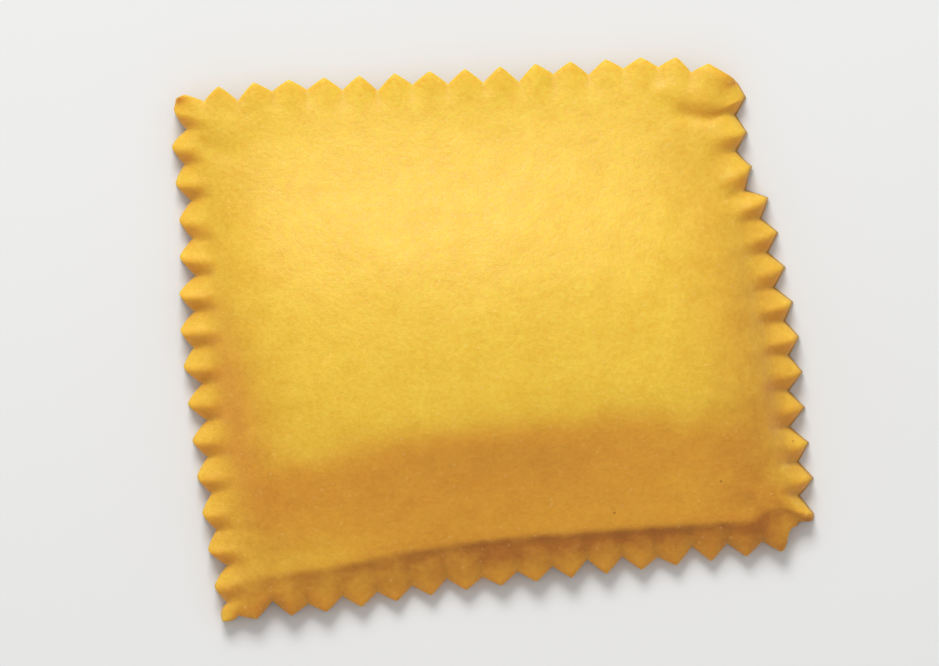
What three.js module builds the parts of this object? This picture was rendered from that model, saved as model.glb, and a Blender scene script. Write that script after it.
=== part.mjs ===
// One fresh egg raviolo: two sheets of dough sealed round a filling and cut out with a fluted wheel.
// Millimetres, +Z up. The belly lies on the plane Z = 0, and the origin is under the middle of the box.
// The uncut raviolo is one solid: a cushion with a flat belly, inside a pinked and fluted rim.
import * as THREE from "three";

// Dough and rim
const DOUGH = 1.4; // thickness of the two sheets pressed together
const RIM_LIFT = 1.15; // height of the rim's underside over the table, where it leaves the cushion
const RIM_DROOP_REACH = 4.5; // distance from the edge at which the rim's droop has died out
const RIM_WAVE = 0.25; // slow up and down of the edge along each side
const RIM_WAVE_TURNS = 1.5; // least number of such waves on a side
const RIM_WAVE_REACH = 8; // distance from the edge at which that wave has died out

// Teeth and flutes, both pressed by the wheel: a flute's crest ends in a tooth's tip
const TOOTH_DEPTH = 1.25; // tip to notch
const TOOTH_REACH = 3.6; // how far in from the edge the dough was dragged by the cut
const LOBE_NOTCH = 0.75; // share of the depth left to the notches beside a corner that is itself a tip
const LOBE_ROUND = 2.5; // such a corner is a small round lobe
const FLUTE_HEIGHT = 0.36; // crest over the mean surface, and valley under it
const FLUTE_OVERRUN = 1.35; // length of a flute, as a share of the way from the tips to the cushion's foot
const FLUTE_HOLD = 0.4; // share of that length over which a flute keeps its full height
const FLUTE_UNDERSIDE = 0.6; // share of the flute that shows underneath
const UNEVEN = 0.28; // share by which single teeth and flutes differ

// Cushion
const CROWN = 6; // over the rim's upper face
const CROWN_AT = new THREE.Vector2(-0.5, -1.5);
const CROWN_RADIUS = new THREE.Vector2(150, 75); // of the top, across and along
const BELLY_SLOPE = 24; // of the underside between the rim and the flat belly, in degrees
const BELLY_FROM_EDGE = 5; // where the underside leaves the rim

// Folds that the seal pulled into the dough: raised or sunk lines between two places, with rounded ends
const FOLDS = [
  // Crease under the top right corner, and the ridge over it
  { from: [22.2, 21.6], to: [18.2, 21.2], height: -0.3, width: 0.9 },
  { from: [20.8, 23.3], to: [16, 23.3], height: 0.25, width: 0.9 },
  // Ridge in from the top left corner, and the hollow under it
  { from: [-28.2, 21.6], to: [-24, 19.6], height: 0.15, width: 1.3 },
  { from: [-27, 18.2], to: [-24.6, 17.2], height: -0.15, width: 1 },
  // Streak in from the bottom left corner
  { from: [-21.6, -22], to: [-13.2, -20.9], height: 0.12, width: 1.1 },
];

// Dent along the lower slope, where the filling stops short of the seal
const DENT_DEPTH = 0.12;
const DENT_FROM_EDGE = 10.4;
const DENT_WIDTH = 3;

// Corners of the outline, where the lines of the tips of two sides would meet. The wheel's two cuts
// crossed there and took the corner off: `trim` is where they moved it to, and `reach` how far along
// the edge that is felt.
const CORNERS = {
  topLeft: {
    sides: ["top", "left"],
    at: [-29.9, 22.8],
    trim: [0.6, -0.4],
    reach: 1.3,
  },
  topRight: {
    sides: ["top", "right"],
    at: [23.9, 26.6],
    trim: [-1.2, -2.2],
    reach: 3.6,
  },
  bottomRight: {
    sides: ["bottom", "right"],
    at: [29.9, -19.5],
    trim: [-1.7, 2.4],
    reach: 3,
  },
  bottomLeft: {
    sides: ["bottom", "left"],
    at: [-25.2, -26.4],
    trim: [0.1, 0.1],
    reach: 1.2,
  },
};
const TRIM_DEPTH = 6; // how far in from a trimmed corner the dough was dragged

// Each side runs from a corner through its tooth tips to the next corner. `tips` are a few points of the
// curve that the tips lie on, `teeth` counts the gaps between them, and `lead` and `tail` are the grid
// cells between the corner and the first or last tip, 0 where that tip is the corner. `blunt` rounds the
// tips: 1 is a straight-sided tooth. `foot` is where the cushion starts, in from the tips, and `slope` is
// its rise in degrees, both at the beginning, the middle and the end of the side. `fillet` rounds the
// crease at the foot, `wall` is a step there that is climbed over the width `run`, and `knee` is how
// tightly the slope turns into the top. `flutes` is how clearly the wheel's flutes show, `lean` how far
// their crests lean along the side, and `droop` how far the edge hangs. `inside` is 1 if the raviolo lies
// to the left of the run.
const SIDES = {
  bottom: {
    from: CORNERS.bottomLeft.at,
    to: CORNERS.bottomRight.at,
    tips: [CORNERS.bottomLeft.at, [-14.7, -25.3], [-1.9, -23.3], [11.3, -21.8], [27.1, -19.8]],
    teeth: 16,
    lead: 0,
    tail: 2,
    blunt: 1.25,
    foot: [3, 3.9, 2.4],
    fillet: 0.2,
    wall: 1.7,
    run: 0.3,
    slope: [22, 22, 22],
    knee: 14,
    flutes: 0.5,
    lean: 0,
    droop: 1.1,
    inside: 1,
  },
  top: {
    from: CORNERS.topLeft.at,
    to: CORNERS.topRight.at,
    tips: [[-28.7, 22.9], [-25.2, 23.7], [-3.9, 25.2], [17.2, 26.4], [20.5, 25.9]],
    teeth: 15,
    lead: 2,
    tail: 2,
    blunt: 1.35,
    foot: [2.6, 2.4, 3],
    fillet: 1.2,
    wall: 0,
    run: 1,
    slope: [20, 20, 20],
    knee: 6,
    flutes: 0.45,
    lean: 0,
    droop: 0.2,
    inside: -1,
  },
  left: {
    from: CORNERS.topLeft.at,
    to: CORNERS.bottomLeft.at,
    tips: [[-29.7, 21.5], [-29.9, 18.3], [-29.2, 11.1], [-29.1, 1.5], [-28, -9], [-26.4, -19.9],
      CORNERS.bottomLeft.at],
    teeth: 14,
    lead: 2,
    tail: 0,
    blunt: 1.7,
    foot: [2.6, 2.9, 2.9],
    fillet: 0.5,
    wall: 0,
    run: 1,
    slope: [56, 58, 58],
    knee: 2.5,
    flutes: 1,
    lean: 0.5,
    droop: 1.1,
    inside: 1,
  },
  right: {
    from: CORNERS.topRight.at,
    to: CORNERS.bottomRight.at,
    tips: [[23.6, 22.8], [24.1, 16.5], [25.8, 13], [27.3, 6.8], [28.6, 0], [29.2, -7.5], [29.9, -13.3],
      [29.9, -16.2]],
    teeth: 12,
    lead: 2,
    tail: 2,
    blunt: 1.2,
    foot: [2.9, 2.9, 1.2],
    fillet: 0.4,
    wall: 0,
    run: 1,
    slope: [60, 66, 80],
    knee: 1.6,
    flutes: 1,
    lean: 0.5,
    droop: 1.15,
    inside: -1,
  },
};

// Grid of the two skins. A block is 2 by 2 cells, and is left whole where the surface is smooth.
const COLUMNS = 64;
const ROWS = 58;
const FINE_BLOCKS = 5; // blocks in from the edge that keep their cells on the upper skin
const TINY = 1e-9; // keeps shares whole where a distance is nothing

const lerp = THREE.MathUtils.lerp;
const smooth = (x) => THREE.MathUtils.smoothstep(x, 0, 1);
const rate = (degrees) => Math.tan(THREE.MathUtils.degToRad(degrees));
const vector = ([x, y]) => new THREE.Vector3(x, y, 0);

// A repeatable number from 0 to 1 for each seed, so that no two teeth are quite alike.
const chance = (seed) => {
  const x = Math.sin(seed * 12.9898) * 43758.5453;
  return x - Math.floor(x);
};
const unevenly = (seed) => 1 + UNEVEN * (2 * chance(seed) - 1);

// Position along a side's teeth at a grid station, counted in teeth: whole at a tip, and a half at a notch.
// The cells are dealt out evenly to the half teeth, so that every tip and notch has a station.
function toothAt(station, cells, teeth) {
  const halves = 2 * teeth;
  const start = (half) => Math.round((half * cells) / halves);
  let half = 0;
  while (half < halves - 1 && start(half + 1) <= station) half++;
  return (half + (station - start(half)) / (start(half + 1) - start(half))) / 2;
}

// The stations of one side: places on the line of the tips, with their position along the teeth.
function stationsOf(side, cells) {
  const curve = new THREE.CatmullRomCurve3(side.tips.map(vector), false, "centripetal");
  const toothCells = cells - side.lead - side.tail;
  return Array.from({ length: cells + 1 }, (_, k) => {
    const past = k - side.lead - toothCells;
    if (k < side.lead) return { at: vector(side.from).lerp(curve.getPoint(0), k / side.lead), tooth: 0 };
    if (past > 0) {
      const at = curve.getPoint(1).lerp(vector(side.to), past / side.tail);
      return { at, tooth: side.teeth };
    }
    const tooth = toothAt(k - side.lead, toothCells, side.teeth);
    return { at: curve.getPointAt(tooth / side.teeth), tooth };
  });
}

// Gives each side its stations, and seeds for its teeth, its flutes and its slow wave.
Object.values(SIDES).forEach((side, n) => {
  side.stations = stationsOf(side, side === SIDES.bottom || side === SIDES.top ? COLUMNS : ROWS);
  side.seeds = { notch: 100 * n, flute: 100 * n + 50, start: 100 * n + 98, turns: 100 * n + 99 };
});

// The place on a side's tip line nearest to p: how far it is, where along the teeth, and which way is in.
function nearest(side, p) {
  const found = { distance: Infinity };
  const line = new THREE.Line3();
  const place = new THREE.Vector3();
  side.stations.slice(1).forEach((next, k) => {
    const last = side.stations[k];
    line.set(last.at, next.at);
    const part = line.closestPointToPointParameter(p, true);
    const distance = line.at(part, place).distanceTo(p);
    if (distance >= found.distance) return;
    const along = line.delta(new THREE.Vector3()).normalize();
    found.distance = distance;
    found.tooth = lerp(last.tooth, next.tooth, part);
    found.inwards = new THREE.Vector3(-along.y, along.x, 0).multiplyScalar(side.inside);
  });
  return found;
}

// How far a notch cuts in at this position along the teeth: 0 at a tip, and most at a notch.
function notch(side, tooth) {
  const offTip = 2 * Math.abs(tooth - Math.round(tooth));
  const size = unevenly(side.seeds.notch + Math.floor(tooth)) * TOOTH_DEPTH;
  const besideLobe = (side.lead === 0 && tooth < 1) || (side.tail === 0 && tooth > side.teeth - 1);
  const onLobe = (side.lead === 0 && tooth < 0.5) || (side.tail === 0 && tooth > side.teeth - 0.5);
  return size * (besideLobe ? LOBE_NOTCH : 1) * offTip ** (onLobe ? LOBE_ROUND : side.blunt);
}

// A value of a side that changes along it, given at its beginning, middle and end.
function changing(side, tooth, [start, middle, end]) {
  const t = tooth / side.teeth;
  return lerp(start, end, t) + 4 * t * (1 - t) * (middle - (start + end) / 2);
}

// The flutes' height: crests run in from the tips, and valleys from the notches.
function flute(side, { tooth, distance }) {
  const size = unevenly(side.seeds.flute + Math.round(tooth));
  const length = (FLUTE_OVERRUN * changing(side, tooth, side.foot) * (1 + size)) / 2;
  const fade = 1 - smooth((distance / length - FLUTE_HOLD) / (1 - FLUTE_HOLD));
  const turn = 2 * Math.PI * tooth;
  return side.flutes * FLUTE_HEIGHT * size * Math.cos(turn - side.lean * (1 + Math.cos(turn))) * fade;
}

// The rim's slow wave, less its droop.
function sway(side, { tooth, distance }) {
  const turns = (RIM_WAVE_TURNS + chance(side.seeds.turns)) * (tooth / side.teeth);
  const wave = RIM_WAVE * Math.sin(2 * Math.PI * (turns + chance(side.seeds.start)));
  const hang = side.droop * Math.max(0, 1 - distance / RIM_DROOP_REACH) ** 2;
  return wave * (1 - smooth(distance / RIM_WAVE_REACH)) - hang;
}

// The share of its full height that one side lets the cushion reach at a distance from its edge.
function rise(side, { tooth, distance }) {
  const past = distance - changing(side, tooth, side.foot);
  const ramp = side.fillet * Math.log1p(Math.exp(past / side.fillet));
  const step = side.wall * (1 - Math.exp(-ramp / side.run));
  const climb = (step + rate(changing(side, tooth, side.slope)) * ramp) / CROWN;
  return (1 + Math.max(climb, 1e-4) ** -side.knee) ** (-1 / side.knee);
}

// The height that the folds add at p.
function foldsAt(p) {
  return FOLDS.reduce((sum, { from, to, height, width }) => {
    const line = new THREE.Line3(vector(from), vector(to));
    const off = line.closestPointToPoint(p, true, new THREE.Vector3()).distanceTo(p);
    return sum + height * Math.exp(-((off / width) ** 2));
  }, 0);
}

// The cushion's height over the rim at p: a low dome, brought down towards each of the four sides.
function cushion(p, sides) {
  const bow = (axis) => (p[axis] - CROWN_AT[axis]) ** 2 / (2 * CROWN_RADIUS[axis]);
  const dome = CROWN - bow("x") - bow("y");
  const height = Object.keys(SIDES).reduce((h, name) => h * rise(SIDES[name], sides[name]), dome);
  const dent = DENT_DEPTH * Math.exp(-(((sides.bottom.distance - DENT_FROM_EDGE) / DENT_WIDTH) ** 2));
  return height + foldsAt(p) - dent * smooth(height / CROWN);
}

// How much of a place near a corner belongs to one side: all of it on that side's edge, none on another's,
// and half at the corner itself.
function share(sides, name) {
  const near = (side) => sides[side].distance + TINY;
  const others = Object.keys(sides).filter((other) => other !== name);
  return others.reduce((part, other) => (part * near(other)) / (near(other) + near(name)), 1);
}

// The plan of the grid before the cut: straight lines between opposite sides, bent to meet all four.
function planAt(column, row) {
  const u = column / COLUMNS;
  const v = row / ROWS;
  const { topLeft, topRight, bottomLeft, bottomRight } = CORNERS;
  const between = (a, b, t) => a.clone().lerp(b, t);
  const upward = between(SIDES.bottom.stations[column].at, SIDES.top.stations[column].at, v);
  const across = between(SIDES.left.stations[ROWS - row].at, SIDES.right.stations[ROWS - row].at, u);
  const low = between(vector(bottomLeft.at), vector(bottomRight.at), u);
  const high = between(vector(topLeft.at), vector(topRight.at), u);
  return upward.add(across).sub(between(low, high, v));
}

// Both skins' points over one place of the grid.
function skinsAt(column, row) {
  const p = planAt(column, row);
  const at = p.clone();
  const names = Object.keys(SIDES);
  const sides = Object.fromEntries(names.map((name) => [name, nearest(SIDES[name], p)]));
  for (const corner of Object.values(CORNERS)) {
    const [one, other] = corner.sides.map((name) => sides[name].distance);
    const depth = Math.max(0, 1 - Math.min(one, other) / TRIM_DEPTH);
    at.addScaledVector(vector(corner.trim), smooth(1 - Math.abs(one - other) / corner.reach) * depth);
  }
  let crimp = 0;
  let swing = 0;
  for (const name of names) {
    const own = share(sides, name);
    const { distance, tooth, inwards } = sides[name];
    const drag = own * Math.max(0, 1 - distance / TOOTH_REACH);
    at.addScaledVector(inwards, drag * notch(SIDES[name], tooth));
    crimp += own ** 2 * flute(SIDES[name], sides[name]);
    swing += own * sway(SIDES[name], sides[name]);
  }
  const inside = Math.min(...names.map((name) => sides[name].distance)) - BELLY_FROM_EDGE;
  const belly = rate(BELLY_SLOPE) * Math.max(0, inside);
  const upper = RIM_LIFT + DOUGH + swing + crimp + cushion(p, sides);
  const lower = Math.max(0, RIM_LIFT + swing + FLUTE_UNDERSIDE * crimp - belly);
  return [at.x, at.y, upper, at.x, at.y, lower];
}

// Builds the closed solid: an upper skin, a lower skin and the cut wall between them.
function ravioloGeometry() {
  const UPPER = 0;
  const LOWER = 1;
  const points = [];
  const index = [];
  for (let row = 0; row <= ROWS; row++)
    for (let column = 0; column <= COLUMNS; column++) points.push(...skinsAt(column, row));

  const place = (skin, column, row) => 2 * (row * (COLUMNS + 1) + column) + skin;
  const corner = (k) => new THREE.Vector3().fromArray(points, 3 * k);
  // Splits a four-sided face along its shorter diagonal, which also suits one with a corner that points in.
  const quad = ([a, b, c, d]) => {
    const short = corner(a).distanceTo(corner(c)) <= corner(b).distanceTo(corner(d));
    index.push(...(short ? [a, b, c, a, c, d] : [a, b, d, b, c, d]));
  };
  const fan = (hub, loop) => loop.forEach((a, k) => index.push(hub, a, loop[(k + 1) % loop.length]));
  const facing = (skin, loop) => (skin === UPPER ? loop : [...loop].reverse());

  // A whole block beside a fine one takes over the point in the middle of the line between them. Past the
  // edge everything counts as fine, because the edge keeps every station on both skins.
  const across = COLUMNS / 2;
  const along = ROWS / 2;
  const isFine = (skin, bx, by) => {
    const depth = Math.min(bx, by, across - 1 - bx, along - 1 - by);
    return depth < (skin === UPPER ? FINE_BLOCKS : 0);
  };
  const addBlock = (skin, bx, by) => {
    const at = (dx, dy) => place(skin, 2 * bx + dx, 2 * by + dy);
    if (isFine(skin, bx, by)) {
      for (const [x, y] of [[0, 0], [1, 0], [0, 1], [1, 1]])
        quad(facing(skin, [at(x, y), at(x + 1, y), at(x + 1, y + 1), at(x, y + 1)]));
      return;
    }
    const loop = [at(0, 0)];
    if (isFine(skin, bx, by - 1)) loop.push(at(1, 0));
    loop.push(at(2, 0));
    if (isFine(skin, bx + 1, by)) loop.push(at(2, 1));
    loop.push(at(2, 2));
    if (isFine(skin, bx, by + 1)) loop.push(at(1, 2));
    loop.push(at(0, 2));
    if (isFine(skin, bx - 1, by)) loop.push(at(0, 1));
    if (loop.length === 4) quad(facing(skin, loop));
    else fan(at(1, 1), facing(skin, loop));
  };
  for (const skin of [UPPER, LOWER])
    for (let by = 0; by < along; by++) for (let bx = 0; bx < across; bx++) addBlock(skin, bx, by);

  const edge = [];
  for (let column = 0; column < COLUMNS; column++) edge.push([column, 0]);
  for (let row = 0; row < ROWS; row++) edge.push([COLUMNS, row]);
  for (let column = COLUMNS; column > 0; column--) edge.push([column, ROWS]);
  for (let row = ROWS; row > 0; row--) edge.push([0, row]);
  edge.forEach((here, k) => {
    const next = edge[(k + 1) % edge.length];
    quad([place(LOWER, ...here), place(LOWER, ...next), place(UPPER, ...next), place(UPPER, ...here)]);
  });

  const geometry = new THREE.BufferGeometry();
  geometry.setAttribute("position", new THREE.Float32BufferAttribute(points, 3));
  geometry.setIndex(index);
  return geometry;
}

// Moves the solid so that the origin is under the middle of its box.
function centred(geometry) {
  geometry.computeBoundingBox();
  const { min, max } = geometry.boundingBox;
  return geometry.translate(-(min.x + max.x) / 2, -(min.y + max.y) / 2, -min.z);
}

const eggDough = new THREE.MeshStandardMaterial({ color: 0xf2c24a, roughness: 0.5, metalness: 0 });
const raviolo = new THREE.Mesh(centred(ravioloGeometry()), eggDough);
raviolo.name = "raviolo";

const part = new THREE.Group();
part.add(raviolo);
export default part;
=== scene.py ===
# %% [markdown]
# A fresh egg raviolo, seen from above. Two thin sheets of yellow dough hold a filling between them. They
# were pressed together round it and cut out with a fluted wheel, which left a zigzag edge and small ridges
# in the rim. The lesson builds it as one closed mesh from a flat grid, then gives it a dough finish, a
# table, light and a camera.

import math

import bmesh
import bpy
import numpy as np
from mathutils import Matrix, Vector, noise


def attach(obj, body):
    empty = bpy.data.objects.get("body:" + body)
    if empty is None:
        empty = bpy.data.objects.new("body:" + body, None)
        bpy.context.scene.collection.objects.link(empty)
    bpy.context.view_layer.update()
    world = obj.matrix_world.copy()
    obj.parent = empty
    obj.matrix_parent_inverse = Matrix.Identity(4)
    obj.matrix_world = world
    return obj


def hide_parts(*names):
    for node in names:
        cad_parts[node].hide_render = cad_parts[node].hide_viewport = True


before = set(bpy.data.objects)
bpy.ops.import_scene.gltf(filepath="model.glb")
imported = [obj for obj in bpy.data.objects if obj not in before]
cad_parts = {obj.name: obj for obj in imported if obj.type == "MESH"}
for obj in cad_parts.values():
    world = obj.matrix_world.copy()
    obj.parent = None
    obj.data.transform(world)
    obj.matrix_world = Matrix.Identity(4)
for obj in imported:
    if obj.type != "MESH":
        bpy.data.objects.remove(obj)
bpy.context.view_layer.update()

# %% [markdown]
# The outline comes first. A hand-cut raviolo is no true square: each side is a slightly bent line, and the
# corners are where two cuts crossed. Each side is therefore a smooth curve through a few places that its
# tooth tips lie on. All sizes are millimetres of the real thing, and one number turns them into Blender's
# metres.

# %% Corners of the outline
MM = 0.001
# at: where the lines of the tips meet. trim, reach: how far the crossing cuts moved it, and how far that
# is felt. hollow: cut in a curve, where the others are straight.
CORNERS = {
    "top_left": dict(
        sides=("top", "left"), at=(-29.9, 22.8), trim=(0.4, -0.3), reach=1.3, hollow=False,
    ),
    "top_right": dict(
        sides=("top", "right"), at=(23.9, 26.6), trim=(-1.2, -2.2), reach=3.6, hollow=False,
    ),
    "bottom_right": dict(
        sides=("bottom", "right"), at=(29.9, -19.5), trim=(-1.5, 2.1), reach=3.0, hollow=True,
    ),
    "bottom_left": dict(
        sides=("bottom", "left"), at=(-25.2, -26.4), trim=(0.1, 0.1), reach=1.2, hollow=False,
    ),
}
print("corners:", ", ".join(CORNERS))

# %% Sides of the outline
FINE = 3  # cells for each cell of the solid's own grid
COLUMNS, ROWS = 64 * FINE, 58 * FINE
# tips: places on the line of the tooth tips. teeth: gaps between tips. lead, tail: cells between a corner
# and the tip nearest to it. inside: 1 if the raviolo is to the left of the run. blunt: 1 is a
# straight-sided tooth, and more rounds its tip. foot: where the cushion starts. fillet: the rounding there.
# wall, run: a step there, and the width it takes. slope: the rise after it, in degrees. knee: how tightly
# that turns into the top. flutes: how clearly they show. lean: how far their crests lean along the side.
# droop: how far the edge hangs. The last, its tint: painted shade that browns the side, as painted shadow on
# the rim below the cushion and as darker flanks on the left and right. A value of three is for the
# beginning, the middle and the end of the side.
SIDES = {
    "bottom": dict(
        ends=("bottom_left", "bottom_right"),
        tips=[(-25.2, -26.4), (-14.7, -25.3), (-1.9, -23.3), (11.3, -21.8), (27.1, -19.8)],
        cells=COLUMNS, teeth=16, lead=0, tail=2 * FINE, inside=1, blunt=1.08,
        foot=(3.0, 3.9, 2.4), fillet=0.3, wall=0.6, run=0.4, slope=(29, 27, 27), knee=10,
        flutes=0.38, lean=0.0, droop=1.1, shade_tint=(0.1, 1.0, 0.8),
    ),
    "top": dict(
        ends=("top_left", "top_right"),
        tips=[(-28.7, 22.9), (-25.2, 23.7), (-3.9, 25.2), (17.2, 26.4), (20.5, 25.9)],
        cells=COLUMNS, teeth=15, lead=2 * FINE, tail=2 * FINE, inside=-1, blunt=1.12,
        foot=(2.6, 2.4, 3.0), fillet=1.2, wall=0.0, run=1.0, slope=(20, 20, 20), knee=6,
        flutes=0.45, lean=0.0, droop=0.2, shade_tint=(0.0, 0.0, 0.0),
    ),
    "left": dict(
        ends=("top_left", "bottom_left"),
        tips=[
            (-29.7, 21.5), (-29.9, 18.3), (-29.2, 11.1), (-29.1, 1.5), (-28, -9), (-26.4, -19.9),
            (-25.2, -26.4),
        ],
        cells=ROWS, teeth=14, lead=2 * FINE, tail=0, inside=1, blunt=1.3,
        foot=(2.6, 2.9, 2.9), fillet=0.5, wall=0.0, run=1.0, slope=(56, 58, 58), knee=2.5,
        flutes=1.0, lean=0.5, droop=1.1, shade_tint=(0.04, 0.19, 0.34),
    ),
    "right": dict(
        ends=("top_right", "bottom_right"),
        tips=[
            (23.6, 22.8), (24.1, 16.5), (25.8, 13), (27.3, 6.8), (28.6, 0), (29.2, -7.5),
            (29.9, -13.3), (29.9, -16.2),
        ],
        cells=ROWS, teeth=12, lead=2 * FINE, tail=2 * FINE, inside=-1, blunt=1.0,
        foot=(2.9, 2.9, 1.2), fillet=0.4, wall=0.0, run=1.0, slope=(60, 66, 80), knee=1.6,
        flutes=1.0, lean=0.5, droop=1.15, shade_tint=(0.04, 0.3, 0.36),
    ),
}
print("teeth round the edge:", sum(side["teeth"] for side in SIDES.values()))

# %% [markdown]
# A grid of square cells will carry the surface, so each side needs one station per cell. The cells are
# dealt out to the teeth, so that every tip and every notch gets a station of its own and stays sharp. The
# curve is a centripetal Catmull-Rom spline: it passes through all its points and doesn't swing out between
# uneven ones.


# %% Stations along each side
def curve_through(places, steps=80):
    p = np.array(places, float)
    p = np.vstack([2 * p[0] - p[1], p, 2 * p[-1] - p[-2]])
    w = np.linspace(0, 1, steps, endpoint=False)[:, None]
    pieces = []
    for a, b, c, d in zip(p, p[1:], p[2:], p[3:]):
        ab, bc, cd = (math.sqrt(np.linalg.norm(q - r)) for q, r in ((a, b), (b, c), (c, d)))
        leave = bc * ((b - a) / ab - (c - a) / (ab + bc) + (c - b) / bc)
        arrive = bc * ((c - b) / bc - (d - b) / (bc + cd) + (d - c) / cd)
        bend = w**2 * (3 * (c - b) - 2 * leave - arrive) + w**3 * (2 * (b - c) + leave + arrive)
        pieces.append(b + w * leave + bend)
    return np.vstack(pieces + [p[-2:-1]])


for side in SIDES.values():
    start, end = (np.array(CORNERS[name]["at"]) for name in side["ends"])
    cells, halves = side["cells"] - side["lead"] - side["tail"], 2 * side["teeth"]
    firsts = np.round(np.arange(halves + 1) * cells / halves)
    tooth = np.interp(np.arange(cells + 1), firsts, np.arange(halves + 1) / 2)
    curve = curve_through(side["tips"])
    run = np.concatenate([[0], np.cumsum(np.linalg.norm(np.diff(curve, axis=0), axis=1))])
    reached = tooth / side["teeth"] * run[-1]
    at = np.column_stack([np.interp(reached, run, axis) for axis in curve.T])
    before = np.linspace(start, at[0], side["lead"], endpoint=False)
    after = np.linspace(at[-1], end, side["tail"] + 1)[1:]
    side["at"] = np.vstack([before, at, after])
    side["tooth"] = np.pad(tooth, (len(before), len(after)), mode="edge")
print("stations on a side:", {name: len(side["at"]) for name, side in SIDES.items()})

# %% [markdown]
# Every rule of the shape asks the same things of a point: how far is it from each side, beside which tooth,
# and which way is in. Working in numpy, each stretch of a side is tried on all points of the grid at once.
# Near a corner two sides have a say, so each point also gets a share for each side.


# %% Where a point is, seen from the sides
def grid_plan(column, row):
    u, v = (column / COLUMNS)[:, None], (row / ROWS)[:, None]
    corner = {name: np.array(c["at"]) for name, c in CORNERS.items()}
    low = corner["bottom_left"] * (1 - u) + corner["bottom_right"] * u
    high = corner["top_left"] * (1 - u) + corner["top_right"] * u
    upward = SIDES["bottom"]["at"][column] * (1 - v) + SIDES["top"]["at"][column] * v
    across = SIDES["left"]["at"][ROWS - row] * (1 - u) + SIDES["right"]["at"][ROWS - row] * u
    return upward + across - (low * (1 - v) + high * v)


def seen_from(side, plan):
    near = dict(distance=np.full(len(plan), np.inf), tooth=np.zeros(len(plan)))
    near["inwards"] = np.zeros((len(plan), 2))
    for a, b, tooth_a, tooth_b in zip(side["at"], side["at"][1:], side["tooth"], side["tooth"][1:]):
        step = b - a
        part = np.clip((plan - a) @ step / (step @ step), 0, 1)
        off = np.linalg.norm(plan - a - part[:, None] * step, axis=1)
        closer = off < near["distance"]
        near["distance"][closer] = off[closer]
        near["tooth"][closer] = (tooth_a + (tooth_b - tooth_a) * part)[closer]
        near["inwards"][closer] = side["inside"] * np.array([-step[1], step[0]]) / np.linalg.norm(step)
    return near


TINY = 1e-9  # keeps the shares whole where a distance is nothing
row, column = (index.ravel() for index in np.mgrid[0 : ROWS + 1, 0 : COLUMNS + 1])
plan = grid_plan(column, row)
near = {name: seen_from(side, plan) for name, side in SIDES.items()}
distance = {name: n["distance"] for name, n in near.items()}
for name, n in near.items():
    others = [distance[other] + TINY for other in SIDES if other != name]
    n["share"] = np.prod([other / (other + distance[name] + TINY) for other in others], axis=0)
to_edge = np.min(list(distance.values()), axis=0)
print("grid points:", len(plan), " deepest point is", round(to_edge.max(), 1), "mm from the edge")

# %% [markdown]
# The wheel did two things at once: it cut the zigzag and it pressed flutes into the soft rim, so a ridge
# runs in from every tip and a groove from every notch. Both could be modelled tooth by tooth, but they
# repeat, so two waves along the side make them. No two teeth are alike on hand-cut dough: a repeatable
# chance number makes each a bit different.

# %% Teeth and flutes
TOOTH_DEPTH, TOOTH_REACH = 1.25, 3.6
LOBE_NOTCH, LOBE_ROUND = 0.55, 3.5  # the corner that is itself a tip is a small round lobe
FLUTE_HEIGHT, FLUTE_OVERRUN, FLUTE_HOLD, FLUTE_UNDERSIDE = 0.36, 1.35, 0.4, 0.6
CREST_SHARP = 0.08
UNEVEN = 0.28


def smooth(x):
    x = np.clip(x, 0, 1)
    return x * x * (3 - 2 * x)


def chance(seed):
    return np.mod(np.sin(seed * 12.9898) * 43758.5453, 1)


def unevenly(seed):
    return 1 + UNEVEN * (2 * chance(seed) - 1)


def notch_depth(side, tooth, seed):
    lobe = np.full(len(tooth), np.inf)
    if side["lead"] == 0:
        lobe = np.minimum(lobe, tooth)
    if side["tail"] == 0:
        lobe = np.minimum(lobe, side["teeth"] - tooth)
    power = np.where(lobe < 0.5, LOBE_ROUND, side["blunt"])
    size = TOOTH_DEPTH * np.where(lobe < 1, LOBE_NOTCH, 1) * unevenly(seed + np.floor(tooth))
    return size * (2 * np.abs(tooth - np.round(tooth))) ** power


def along(side, n, key):
    t = n["tooth"] / side["teeth"]
    start, middle, end = side[key]
    return start + (end - start) * t + 4 * t * (1 - t) * (middle - (start + end) / 2)


def flute_height(side, n, seed):
    size = unevenly(seed + np.round(n["tooth"]))
    length = FLUTE_OVERRUN * along(side, n, "foot") * (1 + size) / 2
    fade = 1 - smooth((n["distance"] / length - FLUTE_HOLD) / (1 - FLUTE_HOLD))
    turn = 2 * np.pi * n["tooth"]
    turn = turn - side["lean"] * (1 + np.cos(turn))
    wave = np.cos(turn) + CREST_SHARP * np.cos(3 * turn)
    return side["flutes"] * FLUTE_HEIGHT * size * wave * fade


at = plan.copy()
crimp = np.zeros(len(plan))
for k, (name, side) in enumerate(SIDES.items()):
    n = near[name]
    drag = n["share"] * np.clip(1 - n["distance"] / TOOTH_REACH, 0, 1)
    drag *= notch_depth(side, n["tooth"], 100 * k)
    at += n["inwards"] * drag[:, None]
    crimp += n["share"] ** 2 * flute_height(side, n, 100 * k + 50)
TRIM_DEPTH = 6.0
for corner in CORNERS.values():
    one, other = (distance[name] for name in corner["sides"])
    felt = np.clip(1 - np.abs(one - other) / corner["reach"], 0, 1)
    felt = smooth(felt) if corner["hollow"] else felt
    felt *= np.clip(1 - np.minimum(one, other) / TRIM_DEPTH, 0, 1)
    at += felt[:, None] * np.array(corner["trim"])
print("outline, mm:", np.ptp(at, axis=0).round(2))
print("flutes, mm:", crimp.min().round(2), "to", crimp.max().round(2))

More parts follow.
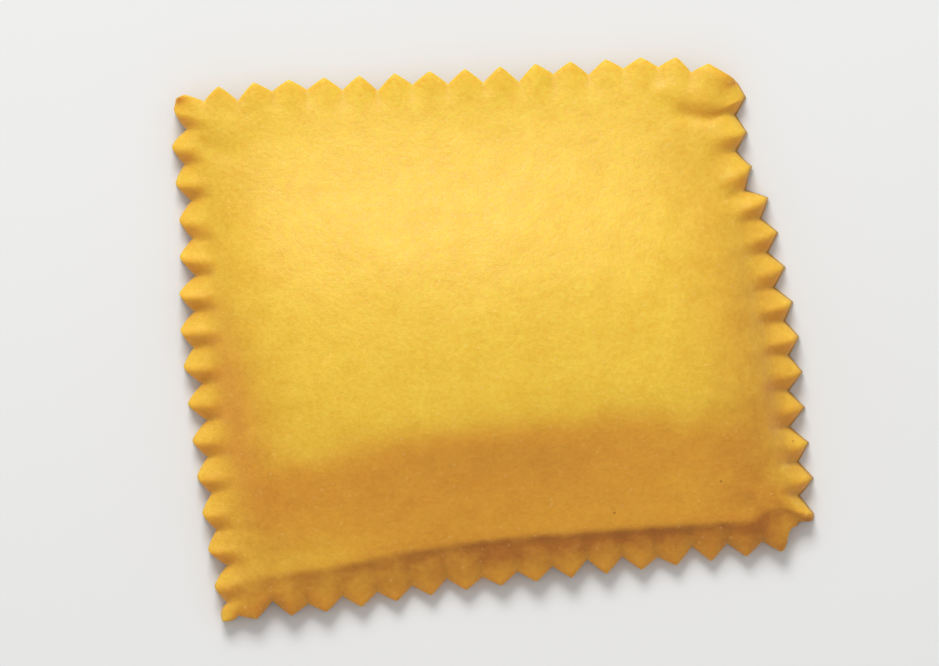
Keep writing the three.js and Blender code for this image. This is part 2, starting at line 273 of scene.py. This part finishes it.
# %% [markdown]
# The filling pushes the dough up into a cushion. It is a low dome, and each side brings it down towards its
# own edge: nothing on the rim, then a slope that turns into the top. These four profiles are shares from 0
# to 1, and the dome is multiplied by all of them. The least of them would do too, but it leaves hard hips
# like a roof's. Multiplying rounds the hips and still keeps each shoulder a line along its side, as on the
# real thing.

# %% The cushion
CROWN, CROWN_AT, CROWN_RADIUS = 6.0, np.array([-0.5, -1.5]), np.array([150.0, 75.0])
DENT_DEPTH, DENT_FROM_EDGE, DENT_WIDTH = 0.12, 10.4, 3.0
LEAST_CLIMB = 1e-4  # keeps the power below finite at the very edge


def rise(side, n):
    foot, slope = (along(side, n, key) for key in ("foot", "slope"))
    ramp = side["fillet"] * np.logaddexp(0, (n["distance"] - foot) / side["fillet"])
    climb = side["wall"] * (1 - np.exp(-ramp / side["run"])) + np.tan(np.radians(slope)) * ramp
    return (1 + np.maximum(climb / CROWN, LEAST_CLIMB) ** -side["knee"]) ** (-1 / side["knee"])


dome = CROWN - np.sum((plan - CROWN_AT) ** 2 / (2 * CROWN_RADIUS), axis=1)
cushion = dome * np.prod([rise(side, near[name]) for name, side in SIDES.items()], axis=0)
dent = DENT_DEPTH * np.exp(-(((distance["bottom"] - DENT_FROM_EDGE) / DENT_WIDTH) ** 2))
dent *= smooth(cushion / CROWN)
print("crown over the rim, mm:", cushion.max().round(2))

# %% [markdown]
# Sealing pulled a few folds into the dough near the corners, and the rim hangs and sways a little because
# it is soft. A fold is a line between two places that lifts or sinks what is near it, fading out to its
# sides like a bell curve.

# %% Folds and the sway of the rim
FOLDS = [
    # from, to, height, width
    ((22.2, 21.6), (18.2, 21.2), -0.3, 0.9),  # crease under the top right corner
    ((20.8, 23.3), (16.0, 23.3), 0.25, 0.9),  # ridge over that crease
    ((-28.2, 21.6), (-24.0, 19.6), 0.15, 1.3),  # ridge in from the top left corner
    ((-27.0, 18.2), (-24.6, 17.2), -0.15, 1.0),  # hollow under that ridge
    ((-21.6, -22.0), (-13.2, -20.9), 0.07, 1.1),  # streak in from the bottom left corner
]
RIM_DROOP_REACH = 4.5
RIM_WAVE, RIM_WAVE_TURNS, RIM_WAVE_REACH = 0.25, 1.5, 8.0

folds = np.zeros(len(plan))
for a, b, height, width in FOLDS:
    a, step = np.array(a), np.subtract(b, a)
    part = np.clip((plan - a) @ step / (step @ step), 0, 1)
    off = np.linalg.norm(plan - a - part[:, None] * step, axis=1)
    folds += height * np.exp(-((off / width) ** 2))
sway = np.zeros(len(plan))
for k, (name, side) in enumerate(SIDES.items()):
    n = near[name]
    turns = (RIM_WAVE_TURNS + chance(100 * k + 99)) * n["tooth"] / side["teeth"]
    turns += chance(100 * k + 98)
    wave = RIM_WAVE * np.sin(2 * np.pi * turns)
    wave *= 1 - smooth(n["distance"] / RIM_WAVE_REACH)
    hang = side["droop"] * np.clip(1 - n["distance"] / RIM_DROOP_REACH, 0, 1) ** 2
    sway += n["share"] * (wave - hang)
print("rim sways, mm:", sway.min().round(2), "to", sway.max().round(2))

# %% [markdown]
# Rolled dough is never quite even. The filling has lumps a few millimetres wide that show softly through
# it, and the sheet itself is a little pitted. Both are real relief, so they go into the mesh and not only
# into the finish.

# %% Lumps and pits
LUMP, LUMP_HEIGHT, LUMP_SEED = 6.0, 0.12, 3.1
PIT, PIT_HEIGHT, PIT_SEED = 1.3, 0.03, 7.7
FILLED = 4.0  # the cushion's height where lumps show fully


def relief(size, seed):
    return np.array([noise.noise(Vector((x / size, y / size, seed))) for x, y in plan])


uneven = LUMP_HEIGHT * smooth(cushion / FILLED) * relief(LUMP, LUMP_SEED)
uneven += PIT_HEIGHT * relief(PIT, PIT_SEED)
print("relief, mm:", uneven.min().round(3), "to", uneven.max().round(3))

# %% [markdown]
# Now the two skins. The upper one carries everything above. The lower one follows the rim, then bulges down
# to the belly, which lies flat on the table. On the right the lower sheet was cut a little wider, so it
# peeps out.

# %% Heights of the two skins
DOUGH, RIM_LIFT, BELLY_SLOPE, BELLY_FROM_EDGE = 1.4, 1.15, 24, 5.0
upper_z = RIM_LIFT + DOUGH + sway + crimp + cushion + folds - dent + uneven
belly = math.tan(math.radians(BELLY_SLOPE)) * np.maximum(0, to_edge - BELLY_FROM_EDGE)
lower_z = np.maximum(0, RIM_LIFT + sway + FLUTE_UNDERSIDE * crimp - belly)
at -= (at.min(axis=0) + at.max(axis=0)) / 2
UNDERCUT, UNDERCUT_REACH = 0.3, 2.0
peep = near["right"]["share"] * np.clip(1 - distance["right"] / UNDERCUT_REACH, 0, 1)
lower_at = at - UNDERCUT * peep[:, None] * near["right"]["inwards"]
print("height, mm:", upper_z.max().round(2))

# %% [markdown]
# Egg dough lets light in. A face turned to the lamp looks yellow. From a face turned away comes only light
# that has wandered through the dough, and that is orange. Scattering in the finish gives a part of this, and
# painted shade gives the rest: an amber tint kept at each point, which grows as the skin turns from the
# lamp.
# A second, brown tint is painted shadow on the rim below the cushion and painted shade in the flute grooves.
# On the left and on the right, painted shade in both tints darkens the flanks of the filling.

# %% Painted shade: where the dough turns amber and brown
LAMPWARD = np.array([0.0, 0.74, 0.67])
SHADE_FULL_FACING, SHADE_END_FACING = 0.27, 0.63  # cosine to the lamp where the tint is full, and where it ends
FLANK_SHADE_AT, FLANK_SHADE_REACH = 4.3, 4.3
FLANGE_SHADOW_FADE, TIP_FADE, TIP_LEAST = 0.8, 4.5, 0.2
GROOVE_SHADE, GROOVE_DEPTH = 0.17, 0.3
SHAPE_BLUR, TINT_BLUR = 3, 10  # passes


def blurred(field, times):
    for _ in range(times):
        padded = np.pad(field, 1, mode="edge")
        beside = padded[:-2, 1:-1] + padded[2:, 1:-1] + padded[1:-1, :-2] + padded[1:-1, 2:]
        field = (beside + 4 * field) / 8
    return field


fields = (field.reshape(ROWS + 1, COLUMNS + 1) for field in (at[:, 0], at[:, 1], upper_z))
x, y, z = (blurred(field, SHAPE_BLUR) for field in fields)
across = np.dstack([np.gradient(field, axis=1) for field in (x, y, z)])
up = np.dstack([np.gradient(field, axis=0) for field in (x, y, z)])
normal = np.cross(across, up)
facing = normal @ LAMPWARD / np.linalg.norm(normal, axis=2)
# painted shade: an amber tint that grows as the skin turns away from the lamp, blurred soft
shade_from_facing = 1 - smooth((facing - SHADE_FULL_FACING) / (SHADE_END_FACING - SHADE_FULL_FACING))
amber_shade = blurred(shade_from_facing, TINT_BLUR).ravel()

# painted shade for each side: shadow on the rim below the cushion, darker flanks on the left and right
shade_tint = {name: along(side, near[name], "shade_tint") for name, side in SIDES.items()}
past_foot = distance["bottom"] - along(SIDES["bottom"], near["bottom"], "foot")
# painted shadow of the cushion on the bottom rim, from its foot out, fading towards the tips
flange_shadow = (1 - smooth(past_foot / FLANGE_SHADOW_FADE)) * smooth(TIP_LEAST + distance["bottom"] / TIP_FADE)
# brown painted shade: the shadow on the bottom rim, and painted shade down in the flute grooves
brown_shade = shade_tint["bottom"] * flange_shadow + GROOVE_SHADE * np.clip(-crimp / GROOVE_DEPTH, 0, 1)
for name in ("left", "right"):
    # painted shade on the left and right flanks of the filling, added to both tints
    flank_shade = shade_tint[name] * np.exp(-(((distance[name] - FLANK_SHADE_AT) / FLANK_SHADE_REACH) ** 2))
    amber_shade += flank_shade
    brown_shade += flank_shade
amber_shade, brown_shade = np.clip(amber_shade, 0, 1), np.clip(brown_shade, 0, 1)
print("amber share of the skin:", amber_shade.mean().round(2), " brown share:", brown_shade.mean().round(2))

# %% [markdown]
# One sheet of cells is made with create_grid and extruded once. The copy becomes the upper skin, the first
# sheet the lower skin, and the faces that the extrusion leaves between them the cut edge. That closes the
# mesh by itself. A point's place in the grid tells which height belongs to it.

# %% Grid and extrusion
bm = bmesh.new()
bmesh.ops.create_grid(bm, x_segments=COLUMNS, y_segments=ROWS, size=0.5)
amber_shade_layer = bm.verts.layers.float.new("amber_shade")
brown_shade_layer = bm.verts.layers.float.new("brown_shade")
cut_layer = bm.verts.layers.float.new("cut")
sheet = bm.verts[:]
lifted = bmesh.ops.extrude_face_region(bm, geom=bm.faces[:])["geom"]
upper = [v for v in lifted if isinstance(v, bmesh.types.BMVert)]
for skin, place_xy, heights in ((sheet, lower_at, lower_z), (upper, at, upper_z)):
    for v in skin:
        k = round((v.co.y + 0.5) * ROWS) * (COLUMNS + 1) + round((v.co.x + 0.5) * COLUMNS)
        v.co = (place_xy[k, 0] * MM, place_xy[k, 1] * MM, heights[k] * MM)
        v[amber_shade_layer] = amber_shade[k]
        v[brown_shade_layer] = brown_shade[k]
bmesh.ops.recalc_face_normals(bm, faces=bm.faces[:])
print("faces:", len(bm.faces), " closed:", all(e.is_manifold for e in bm.edges))

# %% [markdown]
# The wheel's cut shows both sheets as a thin edge, a little drier and browner than the skin, with the seam
# between them. The extrusion left one tall face for each cell there. Cutting its uprights in four makes a
# middle row, the seam, which is sunk along its normals, and a row on each side of it that keeps the two
# lips full.

# %% Cut edge
SEAM_DEPTH, LIP_TINT = 0.12, 0.6
top_side = set(upper)
uprights = [e for e in bm.edges if (e.verts[0] in top_side) != (e.verts[1] in top_side)]
rows = bmesh.ops.subdivide_edges(bm, edges=uprights, cuts=3)["geom_inner"]
rows = {v for v in rows if isinstance(v, bmesh.types.BMVert)}
bm.normal_update()
for v in rows:
    in_seam = all(e.other_vert(v) in rows for e in v.link_edges)
    v[cut_layer] = 1.0 if in_seam else LIP_TINT
    v.co -= v.normal * (SEAM_DEPTH * MM if in_seam else 0)
print("faces with the cut edge:", len(bm.faces), " closed:", all(e.is_manifold for e in bm.edges))

# %% [markdown]
# The finished bmesh becomes a mesh on an object, smooth shaded, because the dough has no hard edges but its
# cut.

# %% Mesh and object
mesh = bpy.data.meshes.new("stuffed_dough")
bm.to_mesh(mesh)
bm.free()
mesh.polygons.foreach_set("use_smooth", [True] * len(mesh.polygons))
dough = bpy.data.objects.new("stuffed_dough", mesh)
bpy.context.scene.collection.objects.link(dough)
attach(dough, "root")
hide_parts("raviolo")
print(dough.name, "has", len(mesh.vertices), "points and", len(mesh.polygons), "faces")

# %% [markdown]
# Fresh egg dough is wheat and yolk, rolled thin: a warm yellow, matt with a faint damp sheen, and a little
# translucent, so light goes a millimetre or two into it and its shadows turn orange. It is built from
# nodes. One function adds a node: it takes the settings, and for each input either a value or another
# node's output.


# %% Colour and node helpers
def srgb(hex_colour):
    channels = [int(hex_colour[k : k + 2], 16) / 255 for k in (1, 3, 5)]
    return (*[c / 12.92 if c <= 0.04045 else ((c + 0.055) / 1.055) ** 2.4 for c in channels], 1.0)


def add(tree, kind, inputs, **settings):
    node = tree.nodes.new(kind)
    for key, value in settings.items():
        setattr(node, key, value)
    for socket, value in inputs.items():
        if isinstance(value, bpy.types.NodeSocket):
            tree.links.new(value, node.inputs[socket])
        else:
            node.inputs[socket].default_value = value
    return node


egg = bpy.data.materials.new("fresh_egg_dough")
egg.use_nodes = True
tree = egg.node_tree
tree.nodes.clear()
place = add(tree, "ShaderNodeTexCoord", {}).outputs["Object"]
print("material:", egg.name)

# %% [markdown]
# Close up no dough is one flat colour. It has warm and pale patches a few millimetres wide, and a finer
# grain in them. Two noises of these sizes are added, and the sum tells how sandy the dough is at a place.

# %% Patches and grain
PATCH, GRAIN = 2.4 * MM, 0.45 * MM
mottle = add(
    tree, "ShaderNodeTexNoise", {"Vector": place, "Scale": 1 / PATCH, "Detail": 4, "Roughness": 0.65}
)
patches = add(tree, "ShaderNodeMapRange", {0: mottle.outputs["Fac"], 1: 0.1, 2: 0.9}).outputs[0]
fine = add(tree, "ShaderNodeTexNoise", {"Vector": place, "Scale": 1 / GRAIN, "Detail": 3, "Roughness": 0.7})
grain = fine.outputs["Fac"]
speckle = add(tree, "ShaderNodeMapRange", {0: grain, 1: 0.25, 2: 0.75, 3: -0.35, 4: 0.35}).outputs[0]
sandy = add(tree, "ShaderNodeMath", {0: patches, 1: speckle}, operation="ADD", use_clamp=True).outputs[0]
print("patches and grain, mm:", PATCH / MM, GRAIN / MM)

# %% [markdown]
# The dough's own colour is yolk yellow. The two tints kept at the points lie over it, and both are painted
# shade: amber where the skin turns from the lamp, and blotchy brown as painted shadow on the bottom rim, in
# the flute grooves and on the flanks. Each is two colours mixed by how sandy the dough is.

# %% Yolk, with amber and brown painted shade
# the second and third pairs are the colours of the painted shade
YOLK, SHADED_AMBER, SHADED_BROWN = ("#E4B42A", "#EFCC44"), ("#E19A28", "#EFAC35"), ("#A9651A", "#BC7622")
amber_shade_share = add(tree, "ShaderNodeAttribute", {}, attribute_name="amber_shade").outputs["Fac"]
brown_shade_share = add(tree, "ShaderNodeAttribute", {}, attribute_name="brown_shade").outputs["Fac"]
blotch = add(tree, "ShaderNodeMapRange", {0: patches, 3: 1.5, 4: 0.5}).outputs[0]
# the brown painted shade, broken into blotches by the patches
blotchy_brown_shade = add(tree, "ShaderNodeMath", {0: brown_shade_share, 1: blotch}, operation="MULTIPLY", use_clamp=True).outputs[0]
tones = [
    add(tree, "ShaderNodeMix", {0: sandy, 6: srgb(deep), 7: srgb(pale)}, data_type="RGBA").outputs[2]
    for deep, pale in (YOLK, SHADED_AMBER, SHADED_BROWN)
]
colour = tones[0]
for share, tone in zip((amber_shade_share, blotchy_brown_shade), tones[1:]):
    colour = add(tree, "ShaderNodeMix", {0: share, 6: colour, 7: tone}, data_type="RGBA").outputs[2]
print("tints over the yolk yellow: amber, brown")

# %% [markdown]
# Three small things lie on top: the dry, darker cut edge, pale grits of semolina about a millimetre apart,
# and now and then a fleck of bran. Grits and flecks are the middles of Voronoi cells, which are spaced by
# chance.

# %% Cut edge, semolina and bran
GRIT_GAP, BRAN_GAP = 1.1 * MM, 7.0 * MM
cut = add(tree, "ShaderNodeAttribute", {}, attribute_name="cut").outputs["Fac"]
grits = add(tree, "ShaderNodeTexVoronoi", {"Vector": place, "Scale": 1 / GRIT_GAP}).outputs["Distance"]
grit = add(tree, "ShaderNodeMapRange", {0: grits, 1: 0.17, 2: 0.05, 3: 0.0, 4: 0.16}).outputs[0]
bran = add(tree, "ShaderNodeTexVoronoi", {"Vector": place, "Scale": 1 / BRAN_GAP}).outputs["Distance"]
fleck = add(tree, "ShaderNodeMapRange", {0: bran, 1: 0.024, 2: 0.012, 3: 0.0, 4: 0.6}).outputs[0]
for share, tint in ((cut, "#B9781F"), (grit, "#FBE29A"), (fleck, "#9A5B16")):
    over = {0: share, 6: colour, 7: srgb(tint)}
    colour = add(tree, "ShaderNodeMix", over, data_type="RGBA").outputs[2]
print("grits and flecks, mm apart:", GRIT_GAP / MM, BRAN_GAP / MM)

# %% [markdown]
# The same grain is felt as a fine roughness, and the damp sheen comes and goes with it. Light enters the
# dough and comes out up to a millimetre away, red the farthest, which warms the shaded side of every flute.

# %% Skin of the dough
GRAIN_DEPTH, SCATTER = 0.1 * MM, 1.0 * MM
bump = add(tree, "ShaderNodeBump", {"Height": grain, "Strength": 0.7, "Distance": GRAIN_DEPTH})
sheen = add(tree, "ShaderNodeMapRange", {0: grain, 1: 0.35, 2: 0.65, 3: 0.38, 4: 0.58}).outputs[0]
look = {"Base Color": colour, "Roughness": sheen, "Normal": bump.outputs["Normal"]}
look |= {"IOR": 1.45, "Specular IOR Level": 0.45}
look |= {"Subsurface Weight": 0.5, "Subsurface Scale": SCATTER, "Subsurface Radius": (1.0, 0.5, 0.2)}
skin = add(tree, "ShaderNodeBsdfPrincipled", look)
add(tree, "ShaderNodeOutputMaterial", {"Surface": skin.outputs["BSDF"]})
dough.data.materials.append(egg)
print(egg.name, "has", len(tree.nodes), "nodes")

# %% [markdown]
# A plain pale table, wide enough that no edge of it shows.

# %% Table
TABLE_REACH = 2.0
bm = bmesh.new()
bmesh.ops.create_grid(bm, x_segments=1, y_segments=1, size=TABLE_REACH)
table_mesh = bpy.data.meshes.new("table")
bm.to_mesh(table_mesh)
bm.free()
table = bpy.data.objects.new("table", table_mesh)
bpy.context.scene.collection.objects.link(table)
paint = bpy.data.materials.new("matt_white_paint")
paint.use_nodes = True
coat = paint.node_tree.nodes["Principled BSDF"]
coat.inputs["Base Color"].default_value = srgb("#E6E6E5")
coat.inputs["Roughness"].default_value = 0.8
table.data.materials.append(paint)
print("table, m:", tuple(table.dimensions))

# %% [markdown]
# One large soft light comes from the far side, half-way up and a little to the left. It lights the far
# slope, leaves the near slope in soft shade and draws every flute. A pale surround fills the shade.

# %% Light
LIGHT_FROM = Vector((-0.14, 0.73, 0.667)).normalized()
LIGHT_AWAY, LIGHT_SIZE, LIGHT_WATTS, SURROUND = 0.7, 0.32, 3.68, 0.555
softbox = bpy.data.lights.new("softbox", "AREA")
softbox.size = LIGHT_SIZE
softbox.energy = LIGHT_WATTS
lamp = bpy.data.objects.new("softbox", softbox)
lamp.location = LIGHT_FROM * LIGHT_AWAY
lamp.rotation_euler = LIGHT_FROM.to_track_quat("Z", "Y").to_euler()
bpy.context.scene.collection.objects.link(lamp)
surround = bpy.data.worlds.new("pale_surround")
surround.use_nodes = True
sky = surround.node_tree.nodes["Background"]
sky.inputs["Color"].default_value = (1, 1, 1, 1)
sky.inputs["Strength"].default_value = SURROUND
bpy.context.scene.world = surround
bpy.context.scene.view_settings.view_transform = "Standard"
print("softbox at, m:", [round(c, 3) for c in lamp.location])

# %% [markdown]
# The photograph looks almost straight down through a long lens, with the raviolo a little right of the
# middle.

# %% Camera
CAMERA_AWAY, CAMERA_ELEVATION, FRAME_WIDTH = 0.6, 88, 87.6 * MM
SENSOR_WIDTH = 36
AIM = Vector((-2.05, 0.56, 2.5)) * MM
elevation = math.radians(CAMERA_ELEVATION)
towards = Vector((0, -math.cos(elevation), math.sin(elevation)))
lens = bpy.data.cameras.new("camera")
lens.sensor_width = SENSOR_WIDTH
lens.lens = SENSOR_WIDTH * CAMERA_AWAY / FRAME_WIDTH
camera = bpy.data.objects.new("camera", lens)
camera.location = AIM + towards * CAMERA_AWAY
camera.rotation_euler = towards.to_track_quat("Z", "Y").to_euler()
bpy.context.scene.collection.objects.link(camera)
bpy.context.scene.camera = camera
print("lens, mm:", round(lens.lens, 1))
